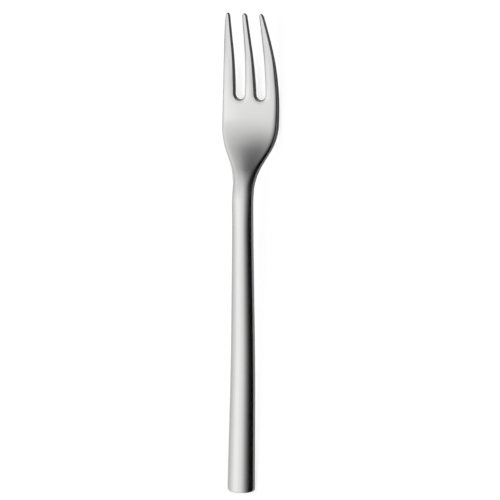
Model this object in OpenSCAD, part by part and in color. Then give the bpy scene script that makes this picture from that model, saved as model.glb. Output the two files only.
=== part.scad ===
// Pastry fork with three tines, pressed and drawn from one bar of stainless steel.
// It lies on its back: X is across, Y runs from the handle's end to the tips, Z is up.
// The origin is under the middle of the fork, on the surface that it rests on.
// Every section along the fork is found from s, the distance from the handle's end.

/* [Lengths] */
// Length of the handle, from its end to the neck
handle_length = 84.1; // [70:0.1:120]
// Length of the neck, from the handle to the head
neck_length = 19.6; // [16:0.1:30]
// Length of the head, from the neck to the bottoms of the slots
head_length = 24.8; // [22:0.1:34]
// Length of the tines, from the bottoms of the slots to the tips
tine_length = 28.4; // [22:0.2:40]

/* [Handle] */
// Width across the handle's end
end_width = 9.5; // [8:0.1:14]
// Height of the handle's upright side, under the domed face
handle_side = 1.4; // [1:0.1:2.4]
// Angle between the domed face and the level at the handle's edges, in degrees
dome_angle = 35; // [20:1:40]
// Length of the straight stretch at the handle's end, whose back is flat
flat_length = 24; // [14:1:30]
// Length of the slight bend that follows the straight stretch
bend_length = 36; // [24:1:40]
// Slope of the straight stretch, in degrees
flat_slope = 1.45; // [0:0.05:3]
// Radius of the bow of the handle's end, seen from above
end_bow = 21; // [10:0.5:30]
// Width of the middle of the handle's end, where it is square to the length
end_flat = 2.5; // [0.5:0.1:6]
// How far the corners of the handle's end are rounded
end_corner = 4.6; // [2:0.1:5.5]
// Radius of the handle's long edges
handle_edge = 0.15; // [0.1:0.01:0.4]

/* [Neck] */
// Width across the neck
neck_width = 7.15; // [6:0.05:9]
// Height of the neck's upright side
neck_side = 1.5; // [1.2:0.1:2.6]
// Angle between the domed face and the level at the neck's edges, by the head, in degrees
neck_dome_angle = 29.7; // [20:0.1:40]
// Slope of the handle where it runs into the neck, in degrees
neck_slope = 4; // [2:0.1:6]
// How softly the arch of the neck is rounded, seen from the side
arch_round = 4.6; // [2:0.1:6]
// How softly the neck's edge runs into the flank of the head, seen from above
neck_fillet = 2.5; // [0.8:0.1:4]

/* [Head] */
// Width across the widest part of the head
head_width = 20.2; // [17:0.1:26]
// Height of the head's side, at its edge
head_side = 1.45; // [1.2:0.05:2.2]
// Angle of the head's flanks to the length, in degrees
flank_angle = 27.9; // [22:0.1:34]
// How softly the flanks run into the sides of the head
shoulder_round = 2.3; // [0.8:0.1:4]
// Radius of the long curve of the sides, from the widest part to the tips
side_radius = 150; // [130:2:300]
// Radius of the hollow between the neck and the head's lowest place, seen from the side
heel_radius = 44.2; // [36:0.2:70]
// Radius of the rise of the head and tines from there, seen from the side
rise_radius = 75; // [60:1:200]
// Width of the rim over which the face rolls down to the sides
rim_width = 2.4; // [2:0.1:3.5]
// How far the face falls across that rim
rim_fall = 0.42; // [0.2:0.02:0.8]
// Radius of the face's outer edges round the head and tines, as a share of the side's height
face_edge_share = 0.48; // [0.2:0.01:0.48]
// Radius of the back's outer edges, as a share of the side's height
back_edge_share = 0.46; // [0.1:0.01:0.48]
// Radius of both edges of the slots, at their bottoms, as a share of the side's height
slot_edge_share = 0.33; // [0.15:0.01:0.46]

/* [Tines] */
// Distance between the centres of the two slots, at their bottoms
slot_spacing = 7.42; // [7.2:0.02:8.4]
// Width of a slot, at its bottom
slot_width = 3.76; // [2.8:0.02:4.2]
// How far each slot leans in towards the middle, in degrees
slot_lean = 1.4; // [0.5:0.1:2]
// How fast each side of a slot opens towards the tips, in degrees
slot_flare = 0.7; // [0.5:0.05:1.6]
// Width of the rim over which the face rolls down to the slots
slot_rim = 2; // [1:0.1:3]
// How far the face falls across that rim
slot_fall = 0.25; // [0.05:0.01:0.4]
// Height of a tine's side, at its tip
tip_side = 1.15; // [1.1:0.05:1.6]
// Length over which a tip is rounded
tip_round = 1.1; // [0.5:0.1:1.6]

/* [Hidden] */

// Places along the fork
neck_at = handle_length;
head_at = neck_at + neck_length;
slots_at = head_at + head_length;
fork_length = slots_at + tine_length;
bend_end = flat_length + bend_length;

// Shares of the head's length, measured from the neck
lowest_share = 0.77;
widest_share = 0.85;
side_start_share = -0.3;
side_full_share = 0.05;
edge_start_share = 0.3;
edge_full_share = 0.58;
rim_start_share = -0.29;
rim_full_share = 0.09;
dome_start_share = 0.095;
dome_end_share = 1.32;
// Share of the neck's length
neck_ease_share = 0.42;
// Shares of the tines' length: where they run straight on, grow thinner, and lose their rims
straight_start_share = 0.6;
thin_start_share = 0.45;
flatten_start_share = 0.2;
flatten_end_share = 0.55;
// How much of the rims is left at the tips
rim_left_share = 0.15;

slot_radius = slot_width / 2;
slot_straight_at = slots_at + slot_radius;
bend_slope = tan(neck_slope) - tan(flat_slope);

// Shares at which a section is sampled: across its rounded edge, then on to its middle
edge_shares = [0, 0.06, 0.25, 0.55, 1];
bar_shares = [0.2, 0.4, 0.6, 0.8, 1];
tine_shares = [0.3, 0.62, 1];
widest_rounding_share = 0.8;
// Shares at which the rounding of the handle's end is sampled, and its reach along the fork
end_shares = [0, 0.02, 0.07, 0.16, 0.32, 0.55, 1];
end_reach = pow((end_width - end_flat) / 2 + end_corner, 2) / (2 * end_bow);
// Angles of the steps round a slot's bottom and round a tip, in degrees
slot_turns = [0, 15, 32, 50, 70];
tip_turns = [20, 40, 58, 72];
last_turn = tip_turns[len(tip_turns) - 1];

// Soft corners. Within k of each other, the greater (or lesser) of two values is blended.
function soft_max(a, b, k) = let (h = max(k - abs(a - b), 0) / k) max(a, b) + h * h * k / 4;
function soft_min(a, b, k) = -soft_max(-a, -b, k);
function soft_step(t) = let (u = min(max(t, 0), 1)) u * u * (3 - 2 * u);
// Rises from 0 at the slope of 1, turning evenly between -half and half
function soft_ramp(d, half) =
    d <= -half ? 0 :
    d >= half ? d :
    let (t = (d + half) / (2 * half)) half * (2 * t * t * t - t * t * t * t);
function head_place(share) = head_at + head_length * share;
function tine_place(share) = slots_at + tine_length * share;
function step_between(s, from, to) = soft_step((s - from) / (to - from));

// Half of the width, without the slots and without the rounding of the two ends
function bar_half(s) =
    let (taper = (end_width - neck_width) / 2 / neck_at)
    end_width / 2 - taper * (s - soft_ramp(s - neck_at, neck_length * neck_ease_share));
function flank_half(s) = neck_width / 2 + tan(flank_angle) * (s - head_at);
function side_half(s) =
    let (past = max(s - head_place(widest_share), 0))
    head_width / 2 - past * past / (2 * side_radius);
function body_half(s) =
    soft_min(soft_max(bar_half(s), flank_half(s), neck_fillet), side_half(s), shoulder_round);

// The same, with the handle's end bowed and its corners rounded
function end_half(s) = end_flat / 2 + sqrt(max(2 * end_bow * s - s * s, 0));
function outline_half(s) = s > end_bow ? body_half(s) : soft_min(body_half(s), end_half(s), end_corner);

// Height of the face's edge above the table
function handle_height(s) =
    let (bend_half = bend_length / 2)
    handle_side + tan(flat_slope) * s + bend_slope * soft_ramp(s - flat_length - bend_half, bend_half);
function bowl_height(s, radius) = head_side + pow(s - head_place(lowest_share), 2) / (2 * radius);
function straightened(s) = pow(max(s - tine_place(straight_start_share), 0), 2) / (2 * rise_radius);
function edge_height(s) =
    s > head_place(lowest_share) ?
    bowl_height(s, rise_radius) - straightened(s) :
    soft_min(handle_height(s), bowl_height(s, heel_radius), arch_round);

// Height of the upright side, which the back lies below the face's edge by
function side_height(s) =
    handle_side
    + (neck_side - handle_side) * step_between(s, bend_end, neck_at)
    + (head_side - neck_side) * step_between(s, head_place(side_start_share), head_place(side_full_share))
    + (tip_side - head_side) * step_between(s, tine_place(thin_start_share), fork_length);

// Rise of the face: a full dome on the handle and neck, a flat face with rolled rims on the head
function dome_slope(s) =
    let (handle = tan(dome_angle / 2), neck = tan(neck_dome_angle / 2))
    handle + (neck - handle) * step_between(s, neck_at, head_at);
function dome_rise(s) =
    bar_half(s) * dome_slope(s)
    * (1 - step_between(s, head_place(dome_start_share), head_place(dome_end_share)));
function rim_left(s) =
    1 - (1 - rim_left_share)
    * step_between(s, tine_place(flatten_start_share), tine_place(flatten_end_share));
function rim_rise(s) =
    rim_fall * rim_left(s) * step_between(s, head_place(rim_start_share), head_place(rim_full_share));

// Radius of an outer edge and of a slot's edge, which is the sharper one until near the tips
function edge_radius(s, share) =
    handle_edge + (side_height(s) * share - handle_edge)
    * step_between(s, head_place(edge_start_share), head_place(edge_full_share));
function slot_edge_radius(s, share) =
    edge_radius(s, slot_edge_share + (share - slot_edge_share)
    * step_between(s, slots_at, fork_length - tip_round));
function roll(d, width, power) = pow(max(1 - d / width, 0), power);
function edge_drop(d, r) = d >= r ? 0 : r - sqrt(max(d * (2 * r - d), 0));

// The slots: the side of each, and the distance of a point of the face from the nearest one
function slot_centre(s) = slot_spacing / 2 - tan(slot_lean) * max(s - slot_straight_at, 0);
function slot_half(s) =
    s >= slot_straight_at ? slot_radius + tan(slot_flare) * (s - slot_straight_at) :
    s <= slots_at ? 0 :
    sqrt(slot_radius * slot_radius - pow(slot_straight_at - s, 2));
function slot_distance(x, s) =
    s >= slot_straight_at ? abs(abs(x) - slot_centre(s)) - slot_half(s) :
    norm([abs(x) - slot_centre(s), s - slot_straight_at]) - slot_radius;

function face_height(x, s) =
    edge_height(s)
    + dome_rise(s) * (1 - pow(x / body_half(s), 2))
    + rim_rise(s) * (1 - roll(body_half(s) - abs(x), rim_width, 3))
    - slot_fall * rim_left(s) * roll(slot_distance(x, s), slot_rim, 2);

// One column of a section: its place, and the heights of the face and the back there.
// The distances are those to the outer edge and to the slot's edge.
function edges_drop(s, outer, slot, share) =
    max(edge_drop(outer, edge_radius(s, share)), edge_drop(slot, slot_edge_radius(s, share)));
function column(x, s, outer, slot) =
    [x, s - fork_length / 2,
     face_height(x, s) - edges_drop(s, outer, slot, face_edge_share),
     edge_height(s) - side_height(s) + edges_drop(s, outer, slot, back_edge_share)];

// Distances from one edge to the middle of a strip, and places across the strip
function inward(half, r, shares) =
    concat([for (q = edge_shares) r * q], [for (q = shares) r + (half - r) * q]);
function across(low, high, r, shares) =
    let (half = (high - low) / 2,
         steps = inward(half, min(r, half * widest_rounding_share), shares),
         last = len(steps) - 1)
    concat([for (d = steps) low + d], [for (i = [last - 1 : -1 : 0]) high - steps[i]]);

// A section of the handle or the neck
function bar_section(s) =
    let (half = outline_half(s), r = edge_radius(s, face_edge_share))
    [for (x = across(-half, half, r, bar_shares)) column(x, s, half - abs(x), half)];

// A section of the head, sampled in the three strips that go on as tines
function head_section(s) =
    let (half = body_half(s), split = slot_spacing / 2 * half / body_half(slots_at),
         r = edge_radius(s, face_edge_share),
         left = across(-half, -split, r, tine_shares),
         middle = across(-split, split, r, tine_shares),
         inner = [for (i = [1 : len(middle) - 2]) middle[i]],
         right = [for (i = [len(left) - 1 : -1 : 0]) -left[i]],
         places = concat(left, inner, right))
    [for (x = places) column(x, s, max(half - abs(x), 0), max(slot_distance(x, s), 0))];

// A section of a tine between two edges, narrowed to the given share at the tip
function tine_section(low, high, s, narrow) =
    let (middle = (low + high) / 2, half = (high - low) / 2 * narrow,
         r = edge_radius(s, face_edge_share))
    [for (x = across(middle - half, middle + half, r, tine_shares))
        let (slot = max(slot_distance(x, s), 0), outer = max(body_half(s) - abs(x), 0))
        narrow < 1 ? column(x, s, max(half - abs(x - middle), 0), half) : column(x, s, outer, slot)];

// Places along each piece at which its section is taken
function even(from, to, count) = [for (i = [0 : count]) from + (to - from) * i / count];
end_places = [for (q = end_shares) end_reach * q];
bend_places = even(flat_length, bend_end, 8);
shank_places = [(bend_end + neck_at) / 2, neck_at];
neck_places = even(neck_at, head_at, 11);
head_places = concat(even(head_at, slots_at - slot_rim, 15), even(slots_at - slot_rim, slots_at, 5));
tine_middle_places = even(slot_straight_at, fork_length - tip_round, 12);

function edges_of_tine(s, side) =
    let (inner = slot_centre(s) - slot_half(s), outer = slot_centre(s) + slot_half(s))
    side < 0 ? [-body_half(s), -outer] :
    side > 0 ? [outer, body_half(s)] :
    [-inner, inner];
function tine_at(s, side, narrow = 1) =
    let (edges = edges_of_tine(s, side))
    tine_section(edges[0], edges[1], s, narrow);
function tip_place(turn) = fork_length - tip_round * (1 - sin(turn) / sin(last_turn));

// Joins sections, each a row of columns, into one closed solid
module loft(sections) {
    rows = len(sections);
    columns = len(sections[0]);
    below = rows * columns;
    function top(i, j) = i * columns + j;
    function bottom(i, j) = below + top(i, j);
    function two(a, b, c, d) = [[a, b, c], [a, c, d]];
    last = columns - 1;
    points = concat(
        [for (row = sections) for (c = row) [c[0], c[1], c[2]]],
        [for (row = sections) for (c = row) [c[0], c[1], c[3]]]);
    faces = [
        for (i = [0 : rows - 2]) for (j = [0 : columns - 2]) each concat(
            two(top(i, j), top(i + 1, j), top(i + 1, j + 1), top(i, j + 1)),
            two(bottom(i, j), bottom(i, j + 1), bottom(i + 1, j + 1), bottom(i + 1, j))),
        for (i = [0 : rows - 2]) each concat(
            two(top(i + 1, 0), top(i, 0), bottom(i, 0), bottom(i + 1, 0)),
            two(top(i, last), top(i + 1, last), bottom(i + 1, last), bottom(i, last))),
        for (j = [0 : columns - 2]) each concat(
            two(top(0, j), top(0, j + 1), bottom(0, j + 1), bottom(0, j)),
            two(top(rows - 1, j + 1), top(rows - 1, j), bottom(rows - 1, j), bottom(rows - 1, j + 1)))];
    polyhedron(points, faces);
}

module handle() {
    color("silver") union() {
        loft([for (s = concat(end_places, [flat_length])) bar_section(s)]);
        loft([for (s = concat(bend_places, shank_places)) bar_section(s)]);
    }
}

module neck() {
    color("gainsboro") loft([for (s = neck_places) bar_section(s)]);
}

module head() {
    color("silver") loft([for (s = head_places) head_section(s)]);
}

module tine(side) {
    color("gainsboro") loft(concat(
        [for (a = slot_turns) tine_at(slots_at + slot_radius * (1 - cos(a)), side)],
        [for (s = tine_middle_places) tine_at(s, side)],
        [for (a = tip_turns) tine_at(tip_place(a), side, cos(a))]));
}

module left_tine() {
    tine(-1);
}

module middle_tine() {
    tine(0);
}

module right_tine() {
    tine(1);
}

handle();
neck();
head();
left_tine();
middle_tine();
right_tine();
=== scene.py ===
"""Pastry fork with three tines, in satin stainless steel, lying on its back on a white table."""
import math
from types import SimpleNamespace

import bpy
from mathutils import Matrix, Vector


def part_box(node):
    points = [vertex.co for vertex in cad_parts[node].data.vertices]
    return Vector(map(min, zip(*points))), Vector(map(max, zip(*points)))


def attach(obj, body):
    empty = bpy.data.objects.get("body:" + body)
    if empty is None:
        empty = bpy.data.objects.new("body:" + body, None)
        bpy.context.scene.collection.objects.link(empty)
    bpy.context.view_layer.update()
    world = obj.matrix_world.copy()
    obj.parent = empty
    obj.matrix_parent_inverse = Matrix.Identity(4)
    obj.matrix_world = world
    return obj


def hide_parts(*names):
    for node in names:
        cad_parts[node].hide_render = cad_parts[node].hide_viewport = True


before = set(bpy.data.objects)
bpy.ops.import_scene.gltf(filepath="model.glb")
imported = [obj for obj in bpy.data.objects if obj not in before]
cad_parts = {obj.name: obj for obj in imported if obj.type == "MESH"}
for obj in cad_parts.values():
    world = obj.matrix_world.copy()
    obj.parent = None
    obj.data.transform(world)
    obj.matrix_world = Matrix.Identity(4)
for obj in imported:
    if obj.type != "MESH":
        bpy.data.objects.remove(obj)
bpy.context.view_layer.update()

MM = 0.001
WHITE = (1.0, 1.0, 1.0, 1.0)
QUARTER_TURN = math.pi / 2
FULL_TURN = math.tau
SHARP_ANGLE = math.radians(35)
# A length and a share that are too small to matter
HAIR = 0.001 * MM
TINY_SHARE = 0.000001

# Places along the fork, measured from the handle's end
end_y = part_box("handle")[0][1]
neck_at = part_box("neck")[0][1] - end_y
head_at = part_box("head")[0][1] - end_y
slots_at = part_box("middle_tine")[0][1] - end_y
fork_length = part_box("middle_tine")[1][1] - end_y

# The sizes that the surface follows. Lengths are in metres and angles in radians. A share that
# ends in start, full or end is measured along the head or the tines, and an edge's radius is a
# share of the height of the side.
SIZES = {
    "end_y": end_y,
    "neck_at": neck_at,
    "head_at": head_at,
    "slots_at": slots_at,
    "fork_length": fork_length,
    # The handle
    "end_width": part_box("handle")[1][0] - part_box("handle")[0][0],
    "handle_side": 1.4 * MM,
    "dome_angle": math.radians(35),
    "flat_length": 24 * MM,
    "bend_length": 36 * MM,
    "flat_slope": math.radians(1.45),
    "end_bow": 21 * MM,
    "end_flat": 2.5 * MM,
    "end_corner": 4.6 * MM,
    "handle_edge": 0.15 * MM,
    # The neck
    "neck_width": 7.15 * MM,
    "neck_side": 1.5 * MM,
    "neck_dome_angle": math.radians(29.7),
    "neck_slope": math.radians(4),
    "neck_ease_share": 0.42,
    "arch_round": 4.6 * MM,
    "neck_fillet": 2.5 * MM,
    # The head
    "head_width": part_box("head")[1][0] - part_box("head")[0][0],
    "head_side": 1.45 * MM,
    "flank_angle": math.radians(27.9),
    "shoulder_round": 2.3 * MM,
    "side_radius": 150 * MM,
    "heel_radius": 44.2 * MM,
    "rise_radius": 75 * MM,
    "rim_width": 2.4 * MM,
    "rim_fall": 0.42 * MM,
    "face_edge_share": 0.48,
    "back_edge_share": 0.46,
    "slot_edge_share": 0.33,
    "lowest_share": 0.77,
    "widest_share": 0.85,
    "side_start_share": -0.3,
    "side_full_share": 0.05,
    "edge_start_share": 0.3,
    "edge_full_share": 0.58,
    "rim_start_share": -0.29,
    "rim_full_share": 0.09,
    "dome_start_share": 0.095,
    "dome_end_share": 1.32,
    # The tines
    "slot_spacing": 7.42 * MM,
    "slot_width": 3.76 * MM,
    "slot_lean": math.radians(1.4),
    "slot_flare": math.radians(0.7),
    "slot_rim": 2 * MM,
    "slot_fall": 0.25 * MM,
    "tip_side": 1.15 * MM,
    "tip_round": 1.1 * MM,
    "tip_turn": math.radians(84),
    "straight_start_share": 0.6,
    "thin_start_share": 0.45,
    "flatten_start_share": 0.2,
    "flatten_end_share": 0.55,
    "rim_left_share": 0.15,
}

# Rows and columns of faces. A strip is the width of one tine. The rows round a slot's bottom, a
# tip and the handle's end are a share of all, and the columns round an edge reach at most so
# far towards the middle of the strip.
STRIP_STEPS = 32
EDGE_STEPS = 8
ROW_STEPS = {"handle": 190, "neck": 90, "head": 130,
             "left_tine": 150, "middle_tine": 150, "right_tine": 150}
ROW_CROWDING = 0.9
ROUND_ROWS_SHARE = 0.15
HANDLE_END_REACH = 3 * MM
WIDEST_ROUNDING_SHARE = 0.8
WALL_VERTICES = 4

# The finish
STEEL_COLOUR = (0.73, 0.73, 0.725)
STEEL_ROUGHNESS = 0.16
# The sides are rougher where the surface is this steep, and there their colour is painted darker:
# painted shade, standing in for the dark reflection of the table's shadow beside the fork. The
# painted shade is that of the handle, and then a darker one on the head and tines, which lie
# nearer that shadow.
SIDE_SLOPE = (0.85, 0.6)
PAINTED_SIDE_SHADES = (0.25, 0.07)
SIDE_ROUGHNESS = 0.14
BRUSH_WIDTH = 0.09 * MM
BRUSH_LENGTH = 7 * MM
BRUSH_DEPTH = 0.001 * MM
BRUSH_STRENGTH = 0.2
BRUSH_DETAIL = 3.0
BRUSH_ROUGHNESS = 0.05
BRUSH_TINT = 0.03
CLOUD_SIZE = 9 * MM
CLOUD_DETAIL = 2.0
CLOUD_ROUGHNESS = 0.04
CLOUD_TINT = 0.02

# The table, the room and the light
TABLE_SIZE = 12.0
TABLE_SHADE = 0.85
TABLE_GLOW = 0.72
ROOM_LIGHT = 0.9
# The soft lamp on the left, in metres and watts
LAMP_PLACE = (-0.85, -0.6, 0.95)
LAMP_WIDTH = 0.7
LAMP_LENGTH = 1.6
LAMP_POWER = 0.5

# The dark cloth hangs over these angles, in degrees: from straight up towards the right, where
# a little light comes through it beyond the tips, and from straight up towards the tips, where
# it is thinner, but not at the far left. A thin part hangs at the far left, and another one
# behind the handle, which is thicker towards the left. The cloth ends well above the table.
CLOTH_RADIUS = 3.0
CLOTH_SEGMENTS = 64
CLOTH_SHADE = 0.01
CLOTH_RIGHT = (-22, 26.5)
CLOTH_SLANT = 1.5
CLOTH_SLANT_START = (8.75, 5)
CLOTH_GAP = (4, 20)
CLOTH_GAP_LIGHT = 0.1
CLOTH_FAR = (-2, 38)
CLOTH_FAR_SHADE = 0.76
CLOTH_LEFT = (-105, -51)
CLOTH_LEFT_SHADE = 0.6
CLOTH_NEAR = (-30, -8)
CLOTH_NEAR_LEFT = (-55, -27)
CLOTH_NEAR_SHADES = (0.12, 0.7)
CLOTH_END_RIGHT = (57, 71)
CLOTH_END_FAR = (50, 68)

# The photograph: its size, its scale along the fork, and the pixel on which the origin falls
PHOTO_PIXELS = 500
PIXELS_PER_MM = 3.0635
ORIGIN_PIXEL = (248.33, 252.75)
# Angles in degrees from straight down to the view, to the right and then towards the tips, and
# of the fork in the picture
CAMERA_LEAN = 25
CAMERA_PITCH = 3.45
PHOTO_TURN = 1.5
LENS = 800
SENSOR = 36
CAMERA_REACH = 100.0


class Number:
    """A number in a node tree. The usual signs, and the functions below, add Math nodes."""

    def __init__(self, socket):
        self.socket = socket

    def __add__(self, other):
        return calculate("ADD", self, other)

    def __sub__(self, other):
        return calculate("SUBTRACT", self, other)

    def __mul__(self, other):
        return calculate("MULTIPLY", self, other)

    def __truediv__(self, other):
        return calculate("DIVIDE", self, other)

    def __rsub__(self, other):
        return calculate("SUBTRACT", other, self)

    def __neg__(self):
        return calculate("MULTIPLY", self, -1.0)

    __radd__ = __add__
    __rmul__ = __mul__


def calculate(operation, *values):
    tree = next(value.socket.node.id_data for value in values if isinstance(value, Number))
    node = tree.nodes.new("ShaderNodeMath")
    node.operation = operation
    for place, value in zip(node.inputs, values):
        if isinstance(value, Number):
            tree.links.new(value.socket, place)
        else:
            place.default_value = value
    return Number(node.outputs[0])


def most(a, b):
    return calculate("MAXIMUM", a, b)


def least(a, b):
    return calculate("MINIMUM", a, b)


def magnitude(a):
    return calculate("ABSOLUTE", a)


def whole(a):
    return calculate("FLOOR", a)


def root(a):
    return calculate("SQRT", most(a, 0.0))


def cosine(a):
    return calculate("COSINE", a)


def sine(a):
    return calculate("SINE", a)


def tangent(a):
    return calculate("TANGENT", a)


def is_more(a, b):
    """1 where a is more than b, and 0 elsewhere."""
    return calculate("GREATER_THAN", a, b)


def between_0_and_1(a):
    return least(most(a, 0.0), 1.0)


def soft_most(a, b, reach):
    """The greater of two numbers, blended where they are within reach of each other."""
    blend = most(reach - magnitude(a - b), 0.0) / reach
    return most(a, b) + blend * blend * reach / 4


def soft_least(a, b, reach):
    return -soft_most(-a, -b, reach)


def soft_step(s, start, end):
    """Runs from 0 at start to 1 at end, level at both."""
    t = between_0_and_1((s - start) / (end - start))
    return t * t * (3 - 2 * t)


def soft_ramp(d, reach):
    """Rises from 0 at the slope of 1, turning evenly between -reach and reach."""
    t = between_0_and_1((d + reach) / (2 * reach))
    return reach * (2 * t * t * t - t * t * t * t) + most(d - reach, 0.0)


def head_place(size, share):
    return size.head_at + (size.slots_at - size.head_at) * share


def head_step(size, s, start_share, end_share):
    return soft_step(s, head_place(size, start_share), head_place(size, end_share))


def tine_place(size, share):
    return size.slots_at + (size.fork_length - size.slots_at) * share


def bar_half(size, s):
    """Half of the width of the tapered bar that the handle and the neck are drawn from."""
    taper = (size.end_width - size.neck_width) / 2 / size.neck_at
    ease = (size.head_at - size.neck_at) * size.neck_ease_share
    return size.end_width / 2 - taper * (s - soft_ramp(s - size.neck_at, ease))


def body_half(size, s):
    """Half of the fork's width, without the slots and before the handle's end is rounded."""
    flank = size.neck_width / 2 + tangent(size.flank_angle) * (s - size.head_at)
    past = most(s - head_place(size, size.widest_share), 0.0)
    side = size.head_width / 2 - past * past / (2 * size.side_radius)
    return soft_least(soft_most(bar_half(size, s), flank, size.neck_fillet), side, size.shoulder_round)


def outline_half(size, s, body):
    """The same, with the handle's end bowed and its corners rounded."""
    along = least(s, size.end_bow)
    end = size.end_flat / 2 + root(2 * size.end_bow * along - along * along)
    return soft_least(body, end, size.end_corner)


def end_distance(size, x, s):
    """Distance from the bowed end of the handle, measured along the fork."""
    aside = most(magnitude(x) - size.end_flat / 2, 0.0)
    return s - size.end_bow + root(size.end_bow * size.end_bow - aside * aside)


def edge_height(size, s):
    """Height of the face's edge above the table."""
    bend = size.bend_length / 2
    turned = tangent(size.neck_slope) - tangent(size.flat_slope)
    handle = (size.handle_side + tangent(size.flat_slope) * s
              + turned * soft_ramp(s - size.flat_length - bend, bend))
    past = s - head_place(size, size.lowest_share)
    heel = soft_least(handle, size.head_side + past * past / (2 * size.heel_radius), size.arch_round)
    straight = most(s - tine_place(size, size.straight_start_share), 0.0)
    rise = size.head_side + (past * past - straight * straight) / (2 * size.rise_radius)
    return heel + (rise - heel) * is_more(past, 0.0)


def side_height(size, s):
    """Height of the upright side at the fork's edge."""
    thin_start = tine_place(size, size.thin_start_share)
    return (size.handle_side
            + (size.neck_side - size.handle_side)
            * soft_step(s, size.flat_length + size.bend_length, size.neck_at)
            + (size.head_side - size.neck_side)
            * head_step(size, s, size.side_start_share, size.side_full_share)
            + (size.tip_side - size.head_side) * soft_step(s, thin_start, size.fork_length))


def slot_rules(size, s):
    """Centre of a slot, half of its width at s, and the same past its round bottom."""
    straight_at = size.slots_at + size.slot_width / 2
    past = most(s - straight_at, 0.0)
    short = least(s - straight_at, 0.0)
    centre = size.slot_spacing / 2 - tangent(size.slot_lean) * past
    reach = size.slot_width / 2 + tangent(size.slot_flare) * past
    half = root(reach * reach - short * short)
    return SimpleNamespace(centre=centre, half=half, reach=reach, short=short)


def slot_distance(slot, x):
    """Distance of a point of the face from the nearest slot."""
    aside = magnitude(x) - slot.centre
    return root(aside * aside + slot.short * slot.short) - slot.reach


def rolled(distance, width):
    """1 at an edge, falling to 0 at that width from it."""
    return most(1 - distance / width, 0.0)


def edge_drop(distance, radius):
    """How far a rounded edge lies below the flat beside it."""
    near = least(distance, radius)
    return radius - root(near * (2 * radius - near))


def edge_radius(size, s, side, share):
    """Radius of an outer edge: small on the handle and neck, a share of the side's height beyond."""
    rounding = head_step(size, s, size.edge_start_share, size.edge_full_share)
    return size.handle_edge + (side * share - size.handle_edge) * rounding


def edges_drop(size, s, side, outer, inner, share):
    """How far the outer edge and the slot's edge, at those distances, lower the face.

    The slot's edge is the sharper one until near the tips."""
    tips = soft_step(s, size.slots_at, size.fork_length - size.tip_round)
    slot_share = size.slot_edge_share + (share - size.slot_edge_share) * tips
    return most(edge_drop(outer, edge_radius(size, s, side, share)),
                edge_drop(inner, edge_radius(size, s, side, slot_share)))


def crowded(t, crowding):
    """Runs evenly from 0 to 1, with closer steps towards both ends."""
    return t - sine(t * FULL_TURN) * crowding / FULL_TURN


def row_place(size, v):
    """Place along the fork of a row, and how far a tine's tip narrows it.

    The rows of a round start or end are spaced by its turn, and the others lie between."""
    turning = between_0_and_1(v / size.start_rows)
    middle = between_0_and_1((v - size.start_rows) / (size.end_rows - size.start_rows))
    closing = size.tip_turn * between_0_and_1((v - size.end_rows) / (1 - size.end_rows))
    straight = size.length - size.start_round - size.end_round
    s = (size.start + size.start_round * (1 - cosine(turning * QUARTER_TURN))
         + straight * crowded(middle, size.crowding)
         + size.end_round * sine(closing) / sine(size.tip_turn))
    return s, cosine(closing)


def column_offset(w, half, radius):
    """Offset from the middle of a strip, with the columns closer towards its two edges."""
    edge_share = EDGE_STEPS / STRIP_STEPS
    near = least(w, 1 - w)
    turn = least(near / edge_share, 1.0) * QUARTER_TURN
    flat = most(near - edge_share, 0.0) / (0.5 - edge_share)
    inward = radius * (1 - cosine(turn)) + (half - radius) * flat
    return (half - inward) * (2 * is_more(w, 0.5) - 1)


def surface_point(size, u, v, t):
    """A point of the fork's surface: u runs across, v along and t up, each from 0 to 1."""
    s, narrowing = row_place(size, v)
    body = body_half(size, s)
    outline = outline_half(size, s, body)
    slot = slot_rules(size, s)

    # The edges of the strip that the point is in. Its side is -1, 0 or 1, as that of its tine.
    strip = least(whole(u * size.strips), size.strips - 1)
    side_of_strip = size.side + strip - (size.strips - 1) / 2
    head_share = outline / body_half(size, size.slots_at)
    in_tines = is_more(s, size.slots_at - HAIR)
    spread = head_share + (1 - head_share) * in_tines
    slot_near = (slot.centre - slot.half) * spread
    slot_far = (slot.centre + slot.half) * spread
    is_outer = magnitude(side_of_strip)
    strip_half = (slot_near + ((outline - slot_far) / 2 - slot_near) * is_outer) * narrowing
    strip_middle = side_of_strip * (outline + slot_far) / 2

    side = side_height(size, s)
    radius = edge_radius(size, s, side, size.face_edge_share)
    rounding = least(radius, strip_half * WIDEST_ROUNDING_SHARE)
    offset = column_offset(u * size.strips - strip, strip_half, rounding)
    x = strip_middle + offset

    # Distances from the outer edge, which is also that of the handle's end and of a tip, and
    # from the slot's edge
    past_tip_start = is_more(1 - TINY_SHARE, narrowing)
    tip_distance = strip_half - magnitude(offset) + size.head_width * (1 - past_tip_start)
    outer = most(least(least(outline - magnitude(x), end_distance(size, x, s)), tip_distance), 0.0)
    inner = most(slot_distance(slot, x), 0.0)

    # Heights of the face and of the back
    edge = edge_height(size, s)
    across = x / body
    handle_slope, neck_slope = tangent(size.dome_angle / 2), tangent(size.neck_dome_angle / 2)
    slope = handle_slope + (neck_slope - handle_slope) * soft_step(s, size.neck_at, size.head_at)
    dome = (bar_half(size, s) * slope
            * (1 - head_step(size, s, size.dome_start_share, size.dome_end_share)))
    rim = size.rim_fall * head_step(size, s, size.rim_start_share, size.rim_full_share)
    side_roll = rolled(body - magnitude(x), size.rim_width)
    slot_roll = rolled(slot_distance(slot, x), size.slot_rim)
    rims = rim * (1 - side_roll * side_roll * side_roll) - size.slot_fall * slot_roll * slot_roll
    rim_left = 1 - (1 - size.rim_left_share) * soft_step(
        s, tine_place(size, size.flatten_start_share), tine_place(size, size.flatten_end_share))
    face = (edge + dome * (1 - across * across) + rims * rim_left
            - edges_drop(size, s, side, outer, inner, size.face_edge_share))
    back = edge - side + edges_drop(size, s, side, outer, inner, size.back_edge_share)
    return x, s + size.end_y, back + (face - back) * t


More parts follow.
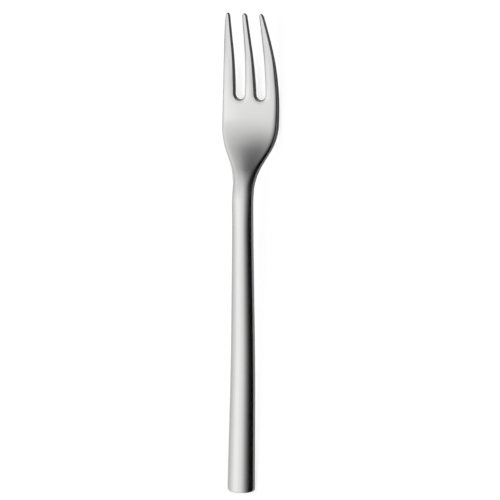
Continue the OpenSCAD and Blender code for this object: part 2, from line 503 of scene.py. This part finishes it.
STRETCH_INPUTS = ("start", "length", "start_round", "end_round", "start_rows", "end_rows",
                  "crowding", "strips", "side")


def stretch_tree(steel):
    """Geometry nodes that shape one stretch of the fork from a box with a grid on each side."""
    tree = bpy.data.node_groups.new("fork_stretch", "GeometryNodeTree")
    tree.interface.new_socket("Geometry", in_out="OUTPUT", socket_type="NodeSocketGeometry")
    for name in (*SIZES, *STRETCH_INPUTS):
        tree.interface.new_socket(name, in_out="INPUT", socket_type="NodeSocketFloat")
    for name in ("columns", "rows"):
        tree.interface.new_socket(name, in_out="INPUT", socket_type="NodeSocketInt")
    inputs = tree.nodes.new("NodeGroupInput")
    size = SimpleNamespace(**{name: Number(inputs.outputs[name]) for name in (*SIZES, *STRETCH_INPUTS)})

    box = tree.nodes.new("GeometryNodeMeshCube")
    box.inputs["Size"].default_value = (1, 1, 1)
    box.inputs["Vertices Z"].default_value = WALL_VERTICES
    tree.links.new(inputs.outputs["columns"], box.inputs["Vertices X"])
    tree.links.new(inputs.outputs["rows"], box.inputs["Vertices Y"])
    place = tree.nodes.new("ShaderNodeSeparateXYZ")
    tree.links.new(tree.nodes.new("GeometryNodeInputPosition").outputs[0], place.inputs[0])
    u, v, t = (Number(place.outputs[i]) + 0.5 for i in range(3))

    point = tree.nodes.new("ShaderNodeCombineXYZ")
    for socket, number in zip(point.inputs, surface_point(size, u, v, t)):
        tree.links.new(number.socket, socket)
    shaped = tree.nodes.new("GeometryNodeSetPosition")
    tree.links.new(box.outputs["Mesh"], shaped.inputs["Geometry"])
    tree.links.new(point.outputs[0], shaped.inputs["Position"])

    smooth = tree.nodes.new("GeometryNodeSetShadeSmooth")
    sharp = tree.nodes.new("GeometryNodeSetShadeSmooth")
    sharp.domain = "EDGE"
    sharp.inputs["Shade Smooth"].default_value = False
    angle = Number(tree.nodes.new("GeometryNodeInputMeshEdgeAngle").outputs["Unsigned Angle"])
    tree.links.new(is_more(angle, SHARP_ANGLE).socket, sharp.inputs["Selection"])
    realized = tree.nodes.new("GeometryNodeRealizeInstances")
    finished = tree.nodes.new("GeometryNodeSetMaterial")
    finished.inputs["Material"].default_value = steel
    output = tree.nodes.new("NodeGroupOutput")
    chain = [shaped, smooth, sharp, realized, finished, output]
    for before, after in zip(chain, chain[1:]):
        tree.links.new(before.outputs[0], after.inputs[0])
    return tree


def stretch(node, tree, start, length, strips=3, side=0, start_round=0.0, end_round=0.0,
            start_share=0.0, end_share=0.0):
    """One stretch of the fork as a plain mesh, in the place of the node of that name.

    start_share and end_share are the shares of its rows that go round its start and its end."""
    values = dict(SIZES, start=start, length=length, start_round=start_round, end_round=end_round,
                  start_rows=start_share, end_rows=1 - end_share, crowding=ROW_CROWDING,
                  strips=float(strips), side=float(side),
                  columns=STRIP_STEPS * strips + 1, rows=ROW_STEPS[node] + 1)
    shaper = bpy.data.objects.new("shaper", bpy.data.meshes.new("shaper"))
    bpy.context.scene.collection.objects.link(shaper)
    modifier = shaper.modifiers.new("shape", "NODES")
    modifier.node_group = tree
    for item in tree.interface.items_tree:
        if item.in_out == "INPUT":
            modifier[item.identifier] = values[item.name]
    evaluated = shaper.evaluated_get(bpy.context.evaluated_depsgraph_get())
    mesh = bpy.data.meshes.new_from_object(evaluated)
    bpy.data.objects.remove(shaper)
    piece = bpy.data.objects.new("satin_" + node, mesh)
    mesh.name = piece.name
    bpy.context.scene.collection.objects.link(piece)
    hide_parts(node)
    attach(piece, "root")
    return piece


def add_node(tree, kind, **values):
    """A node of that kind, with the values of its named inputs set."""
    node = tree.nodes.new(kind)
    for name, value in values.items():
        node.inputs[name].default_value = value
    return node


def empty_material(name):
    """A material with nothing in its tree but the output."""
    material = bpy.data.materials.new(name)
    material.use_nodes = True
    tree = material.node_tree
    tree.nodes.clear()
    return material, tree, tree.nodes.new("ShaderNodeOutputMaterial")


def noise(tree, coordinates, grain, detail):
    """Noise round 0 whose grains have those sizes along X, Y and Z."""
    mapping = add_node(tree, "ShaderNodeMapping", Scale=[1 / size for size in grain])
    grains = add_node(tree, "ShaderNodeTexNoise", Scale=1.0, Detail=detail)
    tree.links.new(coordinates, mapping.inputs["Vector"])
    tree.links.new(mapping.outputs[0], grains.inputs["Vector"])
    return Number(grains.outputs["Fac"]) - 0.5


def satin_steel():
    """Stainless steel with a fine satin finish, brushed along the fork and faintly clouded."""
    material, tree, output = empty_material("satin_steel")
    coordinates = tree.nodes.new("ShaderNodeTexCoord").outputs["Object"]
    brushed = noise(tree, coordinates, (BRUSH_WIDTH, BRUSH_LENGTH, BRUSH_WIDTH), BRUSH_DETAIL)
    clouded = noise(tree, coordinates, (CLOUD_SIZE, CLOUD_SIZE, CLOUD_SIZE), CLOUD_DETAIL)
    facing = tree.nodes.new("ShaderNodeSeparateXYZ")
    tree.links.new(tree.nodes.new("ShaderNodeTexCoord").outputs["Normal"], facing.inputs[0])
    # Where the surface is steep, it is rougher and its colour is painted darker: painted shade for the
    # dark reflection of the table's shadow.
    side = soft_step(magnitude(Number(facing.outputs[2])), *SIDE_SLOPE)
    steel = add_node(tree, "ShaderNodeBsdfPrincipled", Metallic=1.0)
    roughness = (STEEL_ROUGHNESS + side * SIDE_ROUGHNESS
                 + brushed * BRUSH_ROUGHNESS + clouded * CLOUD_ROUGHNESS)
    tree.links.new(roughness.socket, steel.inputs["Roughness"])
    place = tree.nodes.new("ShaderNodeSeparateXYZ")
    tree.links.new(coordinates, place.inputs[0])
    # The painted shade on the sides deepens from the neck to the start of the slots.
    headwards = soft_step(Number(place.outputs[1]), end_y + neck_at, end_y + slots_at)
    painted_side_shade = PAINTED_SIDE_SHADES[0] + headwards * (PAINTED_SIDE_SHADES[1] - PAINTED_SIDE_SHADES[0])
    shade = tree.nodes.new("ShaderNodeCombineColor")
    for socket, tint in zip(shade.inputs, STEEL_COLOUR):
        tinted = tint * (1 - side * (1 - painted_side_shade)) + brushed * BRUSH_TINT + clouded * CLOUD_TINT
        tree.links.new(tinted.socket, socket)
    tree.links.new(shade.outputs[0], steel.inputs["Base Color"])
    bump = add_node(tree, "ShaderNodeBump", Strength=BRUSH_STRENGTH, Distance=BRUSH_DEPTH)
    tree.links.new(brushed.socket, bump.inputs["Height"])
    tree.links.new(bump.outputs[0], steel.inputs["Normal"])
    tree.links.new(steel.outputs[0], output.inputs["Surface"])
    return material


def seen_directly(tree):
    """1 for what the camera, a gloss or a clear material sees directly, and 0 for other light."""
    path = tree.nodes.new("ShaderNodeLightPath")
    camera, gloss, clear = (
        Number(path.outputs[name]) for name in ("Is Camera Ray", "Is Glossy Ray", "Is Transmission Ray"))
    return most(camera, most(gloss, clear))


def white_table():
    """The table: white, with part of its white kept out of the fork's shadow."""
    material, tree, output = empty_material("white_table")
    paint = add_node(tree, "ShaderNodeBsdfDiffuse", Color=(TABLE_SHADE, TABLE_SHADE, TABLE_SHADE, 1.0))
    glow = add_node(tree, "ShaderNodeEmission", Color=WHITE)
    tree.links.new((seen_directly(tree) * TABLE_GLOW).socket, glow.inputs["Strength"])
    both = tree.nodes.new("ShaderNodeAddShader")
    tree.links.new(paint.outputs[0], both.inputs[0])
    tree.links.new(glow.outputs[0], both.inputs[1])
    tree.links.new(both.outputs[0], output.inputs["Surface"])
    bpy.ops.mesh.primitive_plane_add(size=TABLE_SIZE)
    table = bpy.context.object
    table.name = "table"
    table.data.materials.append(material)


def white_room():
    """The room round the table: white wherever it is seen, and soft light elsewhere."""
    world = bpy.data.worlds.new("white_room")
    bpy.context.scene.world = world
    world.use_nodes = True
    tree = world.node_tree
    tree.nodes.clear()
    light = add_node(tree, "ShaderNodeBackground", Color=WHITE)
    seen = seen_directly(tree)
    tree.links.new((ROOM_LIGHT + seen * (1 - ROOM_LIGHT)).socket, light.inputs["Strength"])
    tree.links.new(light.outputs[0], tree.nodes.new("ShaderNodeOutputWorld").inputs["Surface"])


def dark_cloth():
    """A dark cloth over the right and beyond the tips, thinning towards the left. The steel
    reflects it. The camera looks through it."""
    material, tree, output = empty_material("dark_cloth")
    direction = add_node(tree, "ShaderNodeVectorMath")
    direction.operation = "NORMALIZE"
    tree.links.new(tree.nodes.new("ShaderNodeTexCoord").outputs["Object"], direction.inputs[0])
    place = tree.nodes.new("ShaderNodeSeparateXYZ")
    tree.links.new(direction.outputs[0], place.inputs[0])
    x, y, z = (Number(socket) for socket in place.outputs)
    across = calculate("ARCTAN2", x, z)
    beyond = calculate("ARCSINE", y)
    slant_from, slant_reach = (math.radians(angle) for angle in CLOTH_SLANT_START)
    slanted = across + soft_ramp(beyond - slant_from, slant_reach) * CLOTH_SLANT
    right, gap, far, not_left, not_near, near_right, past_right, past_far = (
        soft_step(angle, math.radians(start), math.radians(end))
        for angle, (start, end) in ((slanted, CLOTH_RIGHT), (beyond, CLOTH_GAP), (beyond, CLOTH_FAR),
                                    (across, CLOTH_LEFT), (beyond, CLOTH_NEAR),
                                    (across, CLOTH_NEAR_LEFT), (across, CLOTH_END_RIGHT),
                                    (beyond, CLOTH_END_FAR)))
    near_shade = CLOTH_NEAR_SHADES[0] + (1 - near_right) * (CLOTH_NEAR_SHADES[1] - CLOTH_NEAR_SHADES[0])
    clearness = ((1 - right * (1 - gap * CLOTH_GAP_LIGHT)) * (1 - far * not_left * CLOTH_FAR_SHADE)
                 * (1 - (1 - not_left) * CLOTH_LEFT_SHADE) * (1 - (1 - not_near) * near_shade))
    clearness = 1 - (1 - clearness) * (1 - past_right) * (1 - past_far)
    weave = add_node(tree, "ShaderNodeBsdfDiffuse", Color=(CLOTH_SHADE, CLOTH_SHADE, CLOTH_SHADE, 1.0))
    mixed = tree.nodes.new("ShaderNodeMixShader")
    tree.links.new(clearness.socket, mixed.inputs[0])
    tree.links.new(weave.outputs[0], mixed.inputs[1])
    tree.links.new(tree.nodes.new("ShaderNodeBsdfTransparent").outputs[0], mixed.inputs[2])
    tree.links.new(mixed.outputs[0], output.inputs["Surface"])
    bpy.ops.mesh.primitive_uv_sphere_add(
        segments=CLOTH_SEGMENTS, ring_count=CLOTH_SEGMENTS // 2, radius=CLOTH_RADIUS)
    cloth = bpy.context.object
    cloth.name = "dark_cloth"
    cloth.visible_camera = False
    cloth.data.materials.append(material)


def soft_lamp():
    """A wide flat lamp on the left, facing the fork."""
    light = bpy.data.lights.new("soft_lamp", "AREA")
    light.shape = "RECTANGLE"
    light.size = LAMP_WIDTH
    light.size_y = LAMP_LENGTH
    light.energy = LAMP_POWER
    lamp = bpy.data.objects.new("soft_lamp", light)
    lamp.matrix_world = Matrix.Translation(LAMP_PLACE) @ look_along(LAMP_PLACE, 0.0)
    bpy.context.scene.collection.objects.link(lamp)


def look_along(direction, roll):
    """Turns a camera or a lamp to look against the direction, with the fork upright in its view."""
    back = Vector(direction).normalized()
    up = Vector((0, 1, 0))
    right = up.cross(back).normalized()
    up = back.cross(right)
    turned = Matrix((right, up, back)).transposed()
    return turned.to_4x4() @ Matrix.Rotation(roll, 4, "Z")


def camera():
    """A long lens, above the fork and to its right, as in the photograph."""
    lens = bpy.data.cameras.new("camera")
    lens.lens = LENS
    lens.sensor_width = SENSOR
    lens.clip_end = CAMERA_REACH
    view = bpy.data.objects.new("camera", lens)
    bpy.context.scene.collection.objects.link(view)
    frame_size = PHOTO_PIXELS / PIXELS_PER_MM * MM
    away = frame_size * LENS / SENSOR
    lean, pitch = math.radians(CAMERA_LEAN), math.radians(CAMERA_PITCH)
    direction = Vector((math.sin(lean) * math.cos(pitch), math.sin(pitch),
                        math.cos(lean) * math.cos(pitch)))
    turn = look_along(direction, math.radians(PHOTO_TURN))
    # The photograph's centre, measured from the point of it that the origin falls on
    middle = (PHOTO_PIXELS / 2 - ORIGIN_PIXEL[0], ORIGIN_PIXEL[1] - PHOTO_PIXELS / 2)
    aim = turn.to_3x3() @ Vector((middle[0], middle[1], 0)) / PIXELS_PER_MM * MM
    view.matrix_world = Matrix.Translation(aim + direction * away) @ turn
    bpy.context.scene.camera = view


steel = satin_steel()
tree = stretch_tree(steel)
tine = dict(start=slots_at, length=fork_length - slots_at, strips=1,
            start_round=SIZES["slot_width"] / 2, end_round=SIZES["tip_round"],
            start_share=ROUND_ROWS_SHARE, end_share=ROUND_ROWS_SHARE)
stretch("handle", tree, 0.0, neck_at, start_round=HANDLE_END_REACH, start_share=ROUND_ROWS_SHARE)
stretch("neck", tree, neck_at, head_at - neck_at)
stretch("head", tree, head_at, slots_at - head_at)
stretch("left_tine", tree, side=-1, **tine)
stretch("middle_tine", tree, side=0, **tine)
stretch("right_tine", tree, side=1, **tine)
white_table()
white_room()
dark_cloth()
soft_lamp()
camera()
bpy.context.scene.view_settings.view_transform = "Standard"
